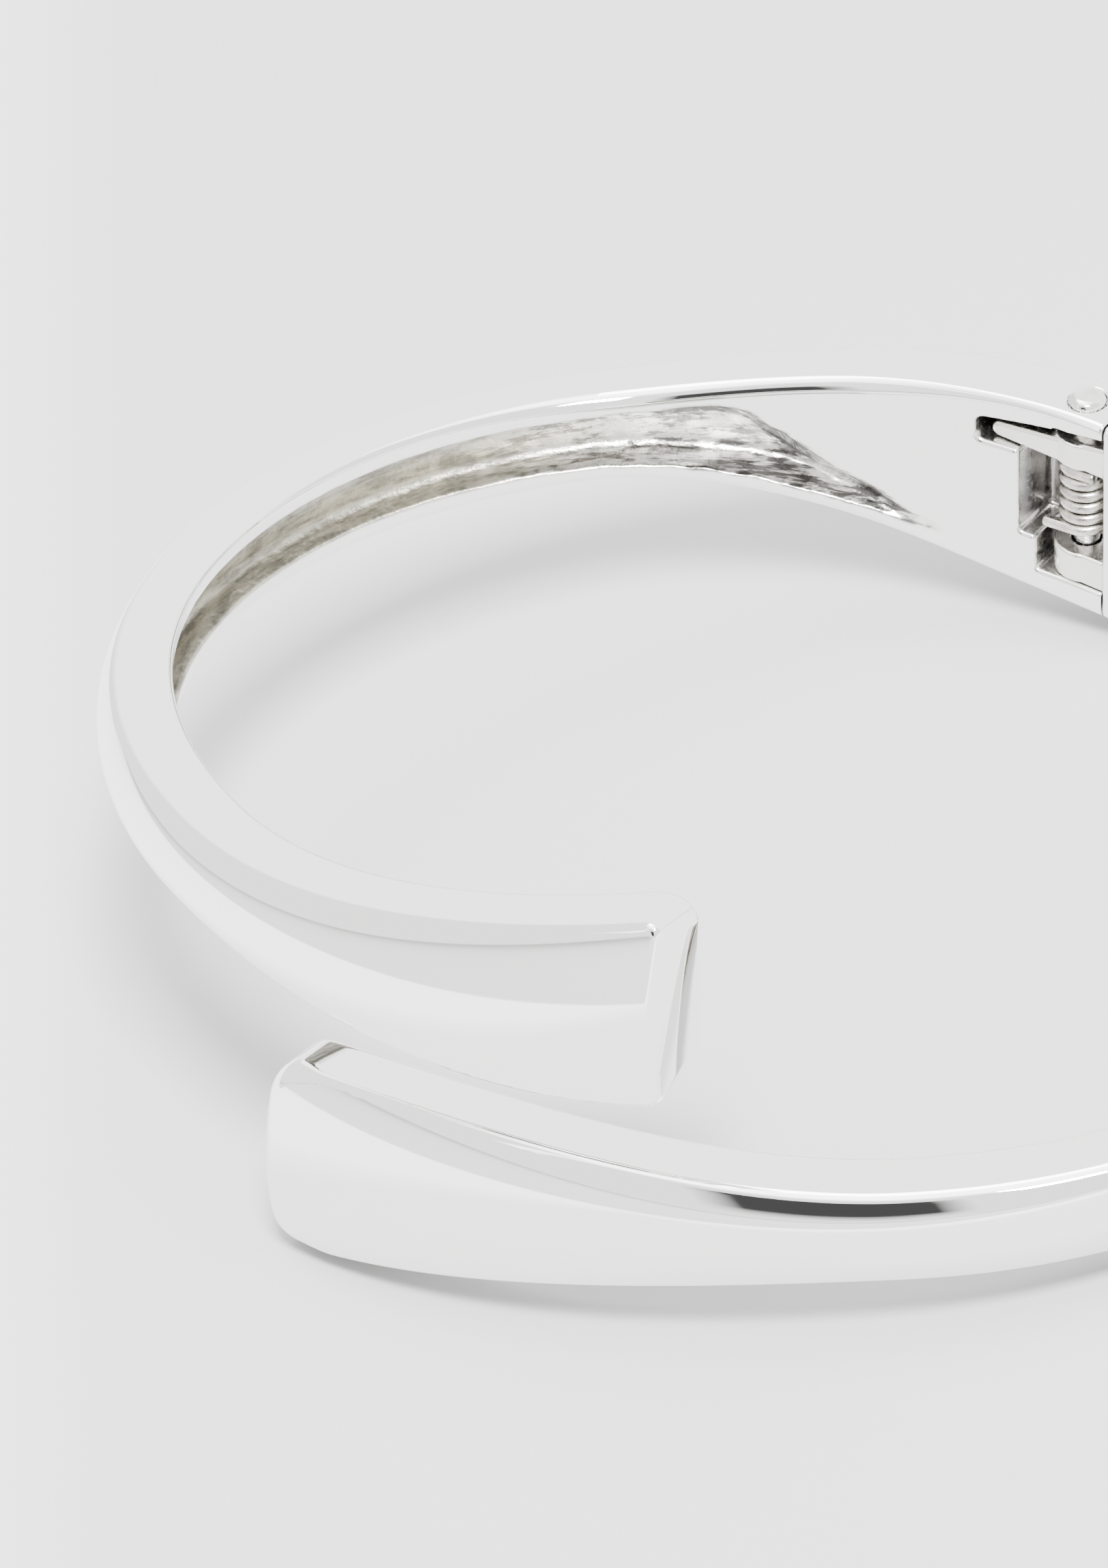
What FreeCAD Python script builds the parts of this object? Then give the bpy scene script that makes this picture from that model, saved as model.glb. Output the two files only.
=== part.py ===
import FreeCAD, Part
import Sketcher
import math
import os

from FreeCAD import Placement, Rotation, Vector

# A hinged bypass bangle: two cast arms, a hinge pin and a torsion spring.
#
# Design frame: seen from above, the bangle is an ellipse centred on Z.  The hinge is at the back (+Y) and the
# two tips pass each other at the front (-Y), the left arm's tip above the right arm's.  Angles run round the
# ellipse from the hinge, 0, to the front, 180.  The right arm is the left arm turned half a turn about Y.
# The last step lays the whole bangle down as it rests on a table, with +Z up and the table at Z = 0.

DIMENSIONS = [
    # The inner ellipse
    ("inner_half_length", 29.7, "half the inner size from side to side"),
    ("inner_half_width", 22.4, "half the inner size from hinge to front"),
    # Height of the band, which flares at the hinge and at the tips
    ("hinge_height", 10.6, "at the hinge"),
    ("waist_height", 4.7, "along the slender middle of an arm"),
    ("tip_height", 10.1, "at the end of the tip flare"),
    ("hinge_flare_end", 48, "angle where the hinge flare has run out"),
    ("tip_flare_start", 144, "angle where the tip flare starts"),
    ("tip_flare_end", 200, "angle where the tip flare is full"),
    # Rise of the band's middle line above the hinge's middle
    ("bypass_rise", 9.0, "at the end of the tip flare"),
    ("bypass_start", 76, "angle where the arm starts to rise"),
    ("bypass_power", 2.7, "how late the rise comes"),
    ("sway_depth", 1.1, "dip of the arm's side below the hinge's middle"),
    ("sway_start", 17, "angle where the dip starts"),
    ("sway_end", 147, "angle where the dip ends"),
    # Thickness of the band, measured at its top and bottom edges, and the crown of its outer face
    ("hinge_thickness", 3.0, "at the hinge"),
    ("waist_thickness", 2.05, "at the side"),
    ("front_thickness", 2.8, "at the front"),
    ("hinge_taper_end", 75, "angle where the hinge's extra thickness has run out"),
    ("front_taper_start", 80, "angle where the front's extra thickness starts"),
    ("front_taper_end", 140, "angle where the front thickness is full"),
    ("hinge_crown", 0.95, "bulge of the outer face at the hinge"),
    ("waist_crown", 0.74, "at the side"),
    ("tip_crown", 0.8, "at the tip"),
    ("inner_edge_radius", 0.4, "rounding of the two inner edges"),
    ("outer_edge_radius", 0.28, "rounding of the two outer edges"),
    # Tips
    ("left_tip_angle", 198.2, "where the left arm's inner face ends"),
    ("right_tip_angle", 203.9, "where the right arm's inner face ends"),
    ("tip_slant", 0.3, "how much sooner a tip ends for each millimetre outwards"),
    ("left_tip_inner_radius", 2.1, "rounding of the left tip's two corners at the inner face"),
    ("left_tip_outer_radius", 0.67, "the same at the outer face"),
    ("right_tip_inner_radius", 1.8, "rounding of the right tip's two corners at the inner face"),
    ("right_tip_outer_radius", 1.8, "the same at the outer face"),
    # The hollow in the inner side of each arm
    ("lip_height", 1.0, "wall left above and below the hollow"),
    ("hollow_wall", 0.75, "wall left behind the hollow, at the band's edge thickness"),
    ("hollow_start", 11, "angle where the hollow's full section would start"),
    ("hollow_before_tip", 16, "angle kept solid before the tip"),
    ("ramp_high_angle", 33.5, "the slanted end of the hollow: angle of its upper end"),
    ("ramp_high_level", 1.5, "height of that end"),
    ("ramp_low_angle", 14.8, "angle of its lower end"),
    ("ramp_low_level", -3.4, "height of that end"),
    ("ramp_draft", 42, "slope of the slanted wall"),
    # Hinge
    ("pin_offset", 1.7, "from the seam between the arms to the pin's axis"),
    ("pin_depth", 1.4, "from the band's inner face to the pin's axis"),
    ("pin_radius", 0.6, "shaft, a press fit in the left arm"),
    ("pin_clearance", 0.05, "running clearance round the pin in the right arm"),
    ("pin_top", 5.15, "underside of the pin's head"),
    ("pin_bottom", -5.1, "flared end of the pin"),
    ("head_radius", 0.83, "domed head"),
    ("head_top", 5.57, "top of the dome"),
    ("dome_radius", 0.4, "rounding of the dome"),
    ("flare_radius", 0.78, "riveted lower end of the pin"),
    ("flare_top", -4.88, "where the flare meets the shaft"),
    ("knuckle_radius", 1.45, "of the right arm's knuckles"),
    ("cavity_radius", 1.65, "turning room for the knuckles"),
    ("cavity_top", 4.22, "top of that room, above the finger's neck"),
    ("cheek_radius", 1.55, "of the left arm's ends round the pin"),
    ("seam_gap", 0.1, "between the closed arms"),
    ("opening_angle", 60, "V groove behind the pin, which limits the opening"),
    # Window in the left arm, seen from inside: x left of the seam, z from the hinge's middle
    ("notch_left", 6.4, "left end of the finger's notch"),
    ("notch_left_top", 3.5, "height of the notch at its left end"),
    ("notch_seam_top", 4.5, "height of the notch at the seam"),
    ("notch_bottom", 2.3, "sill of the notch"),
    ("window_left", 4.3, "left side of the spring's window"),
    ("window_bottom", -2.15, "sill of the spring's window"),
    ("lug_notch_left", 3.45, "left side of the lug's notch"),
    ("lug_notch_bottom", -3.95, "sill of the lug's notch"),
    ("window_depth", 2.4, "depth of the window behind the inner face"),
    # Finger and lug on the right arm
    ("finger_left", 5.9, "the finger's nose"),
    ("finger_nose_top", 3.1, "top of the nose"),
    ("finger_seam_top", 4.0, "top of the finger at the seam"),
    ("finger_bottom", 2.38, "underside of the finger"),
    ("finger_setback", 0.08, "finger and lug behind the inner face"),
    ("knuckle_top", 3.75, "top of the finger's knuckle"),
    ("lug_top", -2.3, "top of the lower lug"),
    ("lug_bottom", -3.85, "underside of the lower lug"),
    ("neck_root", 2.4, "how far right of the pin the necks run into the arm"),
    # Torsion spring
    ("wire_radius", 0.27, "spring wire"),
    ("coil_radius", 1.0, "centre of the wire"),
    ("coil_pitch", 0.63, "rise of a turn"),
    ("coil_turns", 5, "turns from one leg to the other"),
    ("coil_bottom", -1.27, "centre of the wire at the lowest turn"),
    ("upper_leg", 1.1, "length of the leg that bears on the right arm"),
    ("lower_leg", 1.55, "length of the leg that bears in the left arm's window"),
    # Resting pose
    ("rest_lean", -6.27, "turn about X that lays the front tip on the table"),
    ("rest_roll", 13.27, "turn about Y that lays the right arm on the table"),
    ("rest_shift_x", -0.007, "shift that centres the bangle over the origin"),
    ("rest_shift_y", 0.126, "the same along Y"),
    ("rest_lift", 9.0631, "lift that stands the bangle on Z = 0"),
]

STATIONS = 19  # sections along an arm
CORNER_POINTS = 9  # points along a tip's rounded corner
BEFORE_BAND, BEHIND_BAND = -0.6, 3.9  # depths between which a tip is trimmed
PAST_TIP = 1.0  # how far, in degrees, the band runs on before it is trimmed
TRIM_MARGIN = 2.5  # what a tip's trimming tool takes in beyond the band
OVERSHOOT = 0.6  # how far a cutter runs past the face it opens
RAMP_BLOCK_SIZE = 40  # edge of the block that fills the hollow behind its slanted end


def make_sheet(doc):
    sheet = doc.addObject("Spreadsheet::Sheet", "dims")
    for row, (alias, value, note) in enumerate(DIMENSIONS, start=1):
        sheet.set(f"A{row}", note)
        sheet.set(f"B{row}", str(value))
        sheet.setAlias(f"B{row}", alias)
    doc.recompute()
    return sheet


doc = FreeCAD.newDocument("bangle")
dims = make_sheet(doc)


def bind(obj, **expressions):
    """Tie an object's properties to the sheet."""
    for prop, expression in expressions.items():
        obj.setExpression(prop.replace("__", "."), expression)
    return obj


# ---------------------------------------------------------------- shape of the band


def ease(value, start, end):
    """Smooth step from 0 at start to 1 at end."""
    x = min(max((value - start) / (end - start), 0.0), 1.0)
    return x * x * (3.0 - 2.0 * x)


def blend(low, hinge_value, tip_value, hinge_share, tip_share):
    return low + (hinge_value - low) * hinge_share + (tip_value - low) * tip_share


def inner_point(angle):
    """Point on the inner ellipse, at z = 0, and the outward direction there."""
    a = math.radians(angle)
    length, width = dims.inner_half_length, dims.inner_half_width
    point = Vector(-length * math.sin(a), width * math.cos(a), 0)
    outward = Vector(-math.sin(a) / length, math.cos(a) / width, 0)
    return point, outward.normalize()


def band_height(angle):
    hinge_share = 1.0 - ease(angle, 0, dims.hinge_flare_end)
    tip_share = ease(angle, dims.tip_flare_start, dims.tip_flare_end)
    return blend(dims.waist_height, dims.hinge_height, dims.tip_height, hinge_share, tip_share)


def band_crown(angle):
    hinge_share = 1.0 - ease(angle, 0, dims.hinge_flare_end)
    tip_share = ease(angle, dims.tip_flare_start, dims.tip_flare_end)
    return blend(dims.waist_crown, dims.hinge_crown, dims.tip_crown, hinge_share, tip_share)


def band_thickness(angle):
    hinge_share = 1.0 - ease(angle, 0, dims.hinge_taper_end)
    front_share = ease(angle, dims.front_taper_start, dims.front_taper_end)
    return blend(dims.waist_thickness, dims.hinge_thickness, dims.front_thickness, hinge_share, front_share)


def band_middle(angle):
    """Height of the band's middle line: it dips a little along the side, then climbs to the tip."""
    climb = max((angle - dims.bypass_start) / (dims.tip_flare_end - dims.bypass_start), 0.0)
    sway = (angle - dims.sway_start) / (dims.sway_end - dims.sway_start)
    dip = math.sin(math.pi * min(max(sway, 0.0), 1.0)) ** 2
    return dims.bypass_rise * climb ** dims.bypass_power - dims.sway_depth * dip


def band_section(angle):
    """Closed section of the band: flat inner side, crowned outer side, four rounded edges."""
    origin, outward = inner_point(angle)
    half = band_height(angle) / 2
    thick = band_thickness(angle)
    crown = band_crown(angle)
    middle = band_middle(angle)
    soft = dims.inner_edge_radius
    crisp = dims.outer_edge_radius

    def at(depth, level):
        return origin + outward * depth + Vector(0, 0, middle + level)

    crown_radius = (half * half + crown * crown) / (2 * crown)
    crisp_level = half - crisp
    crisp_depth = thick + crown - crown_radius + math.sqrt(crown_radius**2 - crisp_level**2)

    def corner(before, point, after):
        curve = Part.BezierCurve()
        curve.setPoles([before, point, after])
        return curve.toShape()

    inner_low, inner_high = at(0, soft - half), at(0, half - soft)
    top_in, top_out = at(soft, half), at(thick - crisp, half)
    outer_high, outer_low = at(crisp_depth, crisp_level), at(crisp_depth, -crisp_level)
    bottom_out, bottom_in = at(thick - crisp, -half), at(soft, -half)
    return Part.Wire(
        [
            Part.makeLine(inner_low, inner_high),
            corner(inner_high, at(0, half), top_in),
            Part.makeLine(top_in, top_out),
            corner(top_out, at(thick, half), outer_high),
            Part.Arc(outer_high, at(thick + crown, 0), outer_low).toShape(),
            corner(outer_low, at(thick, -half), bottom_out),
            Part.makeLine(bottom_out, bottom_in),
            corner(bottom_in, at(0, -half), inner_low),
        ]
    )


def hollow_section(angle):
    """Section of the hollow, which runs out through the inner face."""
    origin, outward = inner_point(angle)
    reach = band_height(angle) / 2 - dims.lip_height
    depth = band_thickness(angle) - dims.hollow_wall
    middle = band_middle(angle)
    corners = [(-OVERSHOOT, -reach), (-OVERSHOOT, reach), (depth, reach), (depth, -reach)]
    points = [origin + outward * r + Vector(0, 0, middle + z) for r, z in corners]
    return Part.makePolygon(points + points[:1])


def tip_outline(depth, tip_angle, radius):
    """Closed flat wire round what is trimmed off a tip at one depth, leaving two rounded corners."""
    near, near_outward = inner_point(tip_angle)
    far, far_outward = inner_point(tip_angle + 1)
    centre = near + near_outward * depth
    degree = centre.distanceToPoint(far + far_outward * depth)
    end = -depth * dims.tip_slant

    def at(along, below_edge, side):
        angle = tip_angle + along / degree
        origin, outward = inner_point(angle)
        flat_depth = (centre - origin).dot(near_outward) / outward.dot(near_outward)
        level = side * (band_height(angle) / 2 - below_edge)
        return origin + outward * flat_depth + Vector(0, 0, band_middle(angle) + level)

    def corner(side):
        turns = [math.pi / 2 * i / (CORNER_POINTS - 1) for i in range(CORNER_POINTS)]
        points = [at(end - radius + radius * math.sin(t), radius - radius * math.cos(t), side) for t in turns]
        curve = Part.BSplineCurve()
        curve.interpolate(points[::side])
        return curve

    upper, lower = corner(1), corner(-1)
    rim = [
        lower.EndPoint,
        at(end - radius, -TRIM_MARGIN, -1),
        at(end + TRIM_MARGIN, -TRIM_MARGIN, -1),
        at(end + TRIM_MARGIN, -TRIM_MARGIN, 1),
        at(end - radius, -TRIM_MARGIN, 1),
        upper.StartPoint,
    ]
    edges = [upper.toShape(), Part.makeLine(upper.EndPoint, lower.StartPoint), lower.toShape()]
    edges += [Part.makeLine(start, stop) for start, stop in zip(rim, rim[1:])]
    return Part.Wire(edges)


def tip_trim(tip_angle, inner_radius, outer_radius):
    """The tool that gives a tip its slanted end and rounded corners."""

    def outline(depth):
        share = depth / dims.front_thickness
        return tip_outline(depth, tip_angle, inner_radius + (outer_radius - inner_radius) * share)

    return Part.makeLoft([outline(BEFORE_BAND), outline(BEHIND_BAND)], True, True)


def loft(section, start, end):
    angles = [start + (end - start) * i / (STATIONS - 1) for i in range(STATIONS)]
    return Part.makeLoft([section(angle) for angle in angles], True, False)


def feature(name, shape, placement=Placement()):
    obj = doc.addObject("Part::Feature", name)
    obj.Shape = shape
    obj.Placement = placement
    return obj


# ---------------------------------------------------------------- primitives tied to the sheet


PIN_X = "-dims.pin_offset"
PIN_Y = "dims.inner_half_width + dims.pin_depth"


def box(name, left, right, front, back, bottom, top):
    return bind(
        doc.addObject("Part::Box", name),
        Length=f"({right}) - ({left})",
        Width=f"({back}) - ({front})",
        Height=f"({top}) - ({bottom})",
        Placement__Base__x=left,
        Placement__Base__y=front,
        Placement__Base__z=bottom,
    )


def taper(name, left, right, front, back, bottom, left_top, right_top):
    """Bar with a sloping top: left_top at its left end, right_top at its right end."""
    bar = doc.addObject("Part::Wedge", name)
    bar.Placement = Placement(Vector(), Rotation(Vector(0, 0, 1), -90))
    return bind(
        bar,
        Xmin=f"-({back})",
        X2min=f"-({back})",
        Xmax=f"-({front})",
        X2max=f"-({front})",
        Ymin=left,
        Ymax=right,
        Zmin=bottom,
        Z2min=bottom,
        Zmax=left_top,
        Z2max=right_top,
    )


def pin_cylinder(name, radius, bottom, top, sweep=360, start=0):
    """Cylinder, or a slice of one, about the pin's axis.  Angles count from +X."""
    slug = doc.addObject("Part::Cylinder", name)
    slug.Placement = Placement(Vector(), Rotation(Vector(0, 0, 1), start))
    return bind(
        slug,
        Radius=radius,
        Height=f"({top}) - ({bottom})",
        Angle=str(sweep),
        Placement__Base__x=PIN_X,
        Placement__Base__y=PIN_Y,
        Placement__Base__z=bottom,
    )


def fuse(name, *shapes):
    obj = doc.addObject("Part::MultiFuse", name)
    obj.Shapes = list(shapes)
    return obj


def cut(name, base, *tools):
    obj = doc.addObject("Part::Cut", name)
    obj.Base = base
    obj.Tool = tools[0] if len(tools) == 1 else fuse(name + "_tools", *tools)
    return obj


# ---------------------------------------------------------------- bare arms: band and hollow


def ramp_block(name, placement):
    """Block whose lower face is the slanted end of the hollow: the arm stays solid on the block's side."""
    high, outward = inner_point(dims.ramp_high_angle)
    low, _ = inner_point(dims.ramp_low_angle)
    high.z = dims.ramp_high_level
    low.z = dims.ramp_low_level
    along = (low - high).normalize()
    towards_tip = outward.cross(along).normalize()
    slope = math.radians(dims.ramp_draft)
    into = outward * math.cos(slope) + towards_tip * math.sin(slope)
    normal = along.cross(into)
    axes = Rotation(along, into, normal, "ZXY")
    block = doc.addObject("Part::Box", name)
    block.Length = block.Width = block.Height = RAMP_BLOCK_SIZE
    corner = (high + low) / 2 - axes.multVec(Vector(0.5, 0.5, 0) * RAMP_BLOCK_SIZE)
    block.Placement = placement.multiply(Placement(corner, axes))
    return block


def bare_arm(name, tip_angle, inner_radius, outer_radius, placement):
    """The band of one arm with its hollow, drawn as a left arm and then placed."""
    band = feature(name + "_band", loft(band_section, 0, tip_angle + PAST_TIP), placement)
    trim = feature(name + "_tip_trim", tip_trim(tip_angle, inner_radius, outer_radius), placement)
    hollow_end = tip_angle - dims.hollow_before_tip
    channel = feature(name + "_channel", loft(hollow_section, dims.hollow_start, hollow_end), placement)
    hollow = cut(name + "_hollow", channel, ramp_block(name + "_ramp", placement))
    return cut(name + "_casting", band, hollow, trim)


HALF_TURN = Placement(Vector(), Rotation(Vector(0, 1, 0), 180))
left_casting = bare_arm(
    "left", dims.left_tip_angle, dims.left_tip_inner_radius, dims.left_tip_outer_radius, Placement()
)
right_casting = bare_arm(
    "right", dims.right_tip_angle, dims.right_tip_inner_radius, dims.right_tip_outer_radius, HALF_TURN
)


# ---------------------------------------------------------------- left arm: window, cheeks and pin hole


LOW = "-dims.hinge_height"
HIGH = "dims.hinge_height"
BEYOND_BAND = "2 * dims.hinge_thickness"
PAST_SEAM = "1"
JOIN = "0.1"  # overlap of cutters that open into each other
INSIDE = f"dims.inner_half_width - {OVERSHOOT}"
WINDOW_BACK = "dims.inner_half_width + dims.window_depth"

behind_pin = cut(
    "left_behind_pin",
    pin_cylinder("left_v_half", BEYOND_BAND, LOW, HIGH, sweep="90 + dims.opening_angle / 2"),
    pin_cylinder("left_cheek", "dims.cheek_radius", LOW, HIGH),
)
left_seam = box("left_seam", "-dims.seam_gap / 2", PAST_SEAM, INSIDE, PIN_Y, LOW, HIGH)
notch_slope = "(dims.notch_seam_top - dims.notch_left_top) / dims.notch_left"
finger_notch = taper(
    "finger_notch",
    "-dims.notch_left",
    PAST_SEAM,
    INSIDE,
    WINDOW_BACK,
    "dims.notch_bottom",
    "dims.notch_left_top",
    f"dims.notch_seam_top + {PAST_SEAM} * {notch_slope}",
)
spring_window = box(
    "spring_window",
    "-dims.window_left",
    PAST_SEAM,
    INSIDE,
    WINDOW_BACK,
    "dims.window_bottom",
    f"dims.notch_bottom + {JOIN}",
)
lug_notch = box(
    "lug_notch",
    "-dims.lug_notch_left",
    PAST_SEAM,
    INSIDE,
    WINDOW_BACK,
    "dims.lug_notch_bottom",
    f"dims.window_bottom + {JOIN}",
)
cavity = pin_cylinder("knuckle_cavity", "dims.cavity_radius", "dims.lug_notch_bottom", "dims.cavity_top")
left_pin_hole = pin_cylinder("left_pin_hole", "dims.pin_radius", LOW, HIGH)
countersink = bind(
    doc.addObject("Part::Cone", "countersink"),
    Radius1="dims.flare_radius",
    Radius2="dims.pin_radius",
    Height="dims.flare_top - dims.pin_bottom",
    Placement__Base__x=PIN_X,
    Placement__Base__y=PIN_Y,
    Placement__Base__z="dims.pin_bottom",
)
flare_opening = pin_cylinder("flare_opening", "dims.flare_radius", LOW, "dims.pin_bottom")
head_seat = pin_cylinder("head_seat", "dims.head_radius", "dims.pin_top", HIGH)
left_arm = cut(
    "left_arm",
    left_casting,
    behind_pin,
    left_seam,
    finger_notch,
    spring_window,
    lug_notch,
    cavity,
    left_pin_hole,
    countersink,
    flare_opening,
    head_seat,
)


# ---------------------------------------------------------------- right arm: finger and lug


SETBACK = "dims.inner_half_width + dims.finger_setback"
FINGER_BACK = "dims.inner_half_width + dims.window_depth - dims.finger_setback"
NECK_RIGHT = "dims.neck_root - dims.pin_offset"

half_opening = dims.opening_angle / 2
right_v = pin_cylinder("right_v_half", BEYOND_BAND, LOW, HIGH, f"90 + {half_opening}", 90 - half_opening)
right_seam = box("right_seam", f"-{PAST_SEAM}", "dims.seam_gap / 2", INSIDE, PIN_Y, LOW, HIGH)
right_cavity = pin_cylinder("right_cavity", "dims.cavity_radius", LOW, HIGH)
right_body = cut("right_body", right_casting, right_v, right_seam, right_cavity)

finger_slope = "(dims.finger_seam_top - dims.finger_nose_top) / dims.finger_left"
finger = taper(
    "finger",
    "-dims.finger_left",
    NECK_RIGHT,
    SETBACK,
    FINGER_BACK,
    "dims.finger_bottom",
    "dims.finger_nose_top",
    f"dims.finger_seam_top + ({NECK_RIGHT}) * {finger_slope}",
)
KNUCKLE = "dims.knuckle_radius"
finger_knuckle = pin_cylinder("finger_knuckle", KNUCKLE, "dims.finger_bottom", "dims.knuckle_top")
lug_knuckle = pin_cylinder("lug_knuckle", KNUCKLE, "dims.lug_bottom", "dims.lug_top")
lug_neck = box("lug_neck", PIN_X, NECK_RIGHT, SETBACK, FINGER_BACK, "dims.lug_bottom", "dims.lug_top")
right_solid = fuse("right_solid", right_body, finger, finger_knuckle, lug_knuckle, lug_neck)
right_pin_hole = pin_cylinder("right_pin_hole", "dims.pin_radius + dims.pin_clearance", LOW, HIGH)
right_arm = cut("right_arm", right_solid, right_pin_hole)


# ---------------------------------------------------------------- hinge pin


def origin_plane(body, role):
    return next(plane for plane in body.Origin.OriginFeatures if plane.Role == role)


def held_polygon(sketch, corners):
    """Closed polygon whose corners are pairs of the sheet's names; None is the sketch's own axis."""
    points = [Vector(*(getattr(dims, name) if name else 0 for name in corner), 0) for corner in corners]
    for i, point in enumerate(points):
        sketch.addGeometry(Part.LineSegment(points[i - 1], point), False)
    for i in range(len(points)):
        sketch.addConstraint(Sketcher.Constraint("Coincident", i - 1 if i else len(points) - 1, 2, i, 1))
    for i, corner in enumerate(corners):
        for kind, name, value in zip(("DistanceX", "DistanceY"), corner, points[i]):
            if name:
                index = sketch.addConstraint(Sketcher.Constraint(kind, -1, 1, i, 2, value))
                sketch.setExpression(f"Constraints[{index}]", "dims." + name)
            else:
                sketch.addConstraint(Sketcher.Constraint("PointOnObject", i, 2, -2))


def make_pin():
    body = doc.addObject("PartDesign::Body", "hinge_pin")
    sketch = body.newObject("Sketcher::SketchObject", "pin_profile")
    sketch.AttachmentSupport = [(origin_plane(body, "XZ_Plane"), "")]
    sketch.MapMode = "FlatFace"
    held_polygon(
        sketch,
        [
            (None, "pin_bottom"),
            ("flare_radius", "pin_bottom"),
            ("pin_radius", "flare_top"),
            ("pin_radius", "pin_top"),
            ("head_radius", "pin_top"),
            ("head_radius", "head_top"),
            (None, "head_top"),
        ],
    )
    turned = body.newObject("PartDesign::Revolution", "pin_turned")
    turned.Profile = sketch
    turned.ReferenceAxis = (sketch, ["V_Axis"])
    turned.Angle = 360
    doc.recompute()
    dome = body.newObject("PartDesign::Fillet", "pin_dome")
    dome.Base = (turned, [highest_edge(turned.Shape)])
    dome.setExpression("Radius", "dims.dome_radius")
    body.Tip = dome
    return body


def highest_edge(shape):
    levels = [edge.BoundBox.ZMin for edge in shape.Edges]
    return f"Edge{levels.index(max(levels)) + 1}"


# ---------------------------------------------------------------- torsion spring


def make_spring():
    """Coil with two legs that run straight on from its ends, both on the side of the wrist."""
    turns, pitch, radius = dims.coil_turns, dims.coil_pitch, dims.coil_radius
    coil = Part.makeHelix(pitch, pitch * turns, radius)
    coil.Placement = Placement(Vector(0, 0, dims.coil_bottom), Rotation(Vector(0, 0, 1), -90))
    slope = pitch / (2 * math.pi * radius)
    tangent = Vector(1, 0, slope).normalize()
    low_end = Vector(0, -radius, dims.coil_bottom)
    high_end = low_end + Vector(0, 0, pitch * turns)
    leg_tip = low_end - tangent * dims.lower_leg
    lower_leg = Part.makeLine(leg_tip, low_end)
    upper_leg = Part.makeLine(high_end, high_end + tangent * dims.upper_leg)
    wire = Part.Wire([lower_leg] + coil.Edges + [upper_leg])
    rod = Part.Wire(Part.makeCircle(dims.wire_radius, leg_tip, tangent))
    return feature("torsion_spring", wire.makePipeShell([rod], True, False))


# ---------------------------------------------------------------- the bangle at rest


def rest_pose():
    turn = Rotation(Vector(0, 1, 0), dims.rest_roll).multiply(Rotation(Vector(1, 0, 0), dims.rest_lean))
    return Placement(Vector(dims.rest_shift_x, dims.rest_shift_y, dims.rest_lift), turn)


def check(objects):
    for obj in objects:
        if "Invalid" in obj.State or "Error" in obj.State:
            raise RuntimeError(f"{obj.Name} failed: {obj.State}")


hinge_pin = make_pin()
torsion_spring = make_spring()
doc.recompute()
at_pin = Placement(Vector(-dims.pin_offset, dims.inner_half_width + dims.pin_depth, 0), Rotation())
SUB_PARTS = {left_arm: Placement(), right_arm: Placement(), hinge_pin: at_pin, torsion_spring: at_pin}
for part, place in SUB_PARTS.items():
    part.Label = part.Name
    part.Placement = rest_pose().multiply(place)
doc.recompute()
check(doc.Objects)
os.makedirs("parts", exist_ok=True)
for part in SUB_PARTS:
    if part.Shape.isNull() or not part.Shape.isValid():
        raise RuntimeError(f"{part.Label} has no valid shape")
for part in SUB_PARTS:
    part.Shape.exportStep(f"parts/{part.Label}.step")
    print(part.Label, "solids", len(part.Shape.Solids), "volume", round(part.Shape.Volume, 2), "mm3")
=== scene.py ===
import math

import bpy
import numpy as np
from mathutils import Matrix, Vector


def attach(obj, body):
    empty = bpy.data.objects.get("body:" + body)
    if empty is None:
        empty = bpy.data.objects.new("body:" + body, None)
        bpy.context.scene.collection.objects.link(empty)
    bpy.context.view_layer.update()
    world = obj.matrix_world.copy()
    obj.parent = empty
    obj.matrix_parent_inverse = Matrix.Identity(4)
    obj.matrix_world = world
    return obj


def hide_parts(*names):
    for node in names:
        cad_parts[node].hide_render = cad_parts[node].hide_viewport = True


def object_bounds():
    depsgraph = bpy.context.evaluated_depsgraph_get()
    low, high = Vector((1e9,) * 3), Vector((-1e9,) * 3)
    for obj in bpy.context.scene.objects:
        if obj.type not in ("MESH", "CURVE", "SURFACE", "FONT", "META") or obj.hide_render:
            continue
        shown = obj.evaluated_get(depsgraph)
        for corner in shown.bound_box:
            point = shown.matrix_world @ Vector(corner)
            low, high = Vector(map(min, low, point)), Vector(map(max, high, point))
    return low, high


# A hinged bypass bangle.  The two cast arms, the pin and the spring of the frame are replaced by finely
# meshed pieces of the same shape, with the rounded edges and cast hollows that a mirror finish needs.
#
# Shapes are drawn in millimetres in the bangle's design frame: hinge at the back (+Y), tips at the front
# (-Y), Z up.  Angles run round the inner ellipse from the hinge, 0, to the front, 180.  The right arm is the
# left arm turned half a turn about Y.  lay_down() turns a mesh into the frame's resting pose and metres.

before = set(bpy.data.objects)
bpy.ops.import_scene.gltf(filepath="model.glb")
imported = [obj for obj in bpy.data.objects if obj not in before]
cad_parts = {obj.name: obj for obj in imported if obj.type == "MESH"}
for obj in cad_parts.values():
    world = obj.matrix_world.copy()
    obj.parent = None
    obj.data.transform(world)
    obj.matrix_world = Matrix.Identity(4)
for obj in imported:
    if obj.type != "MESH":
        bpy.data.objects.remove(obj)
cad_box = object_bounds()

MM = 0.001

# ---------------------------------------------------------------- dimensions, in millimetres and degrees

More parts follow.
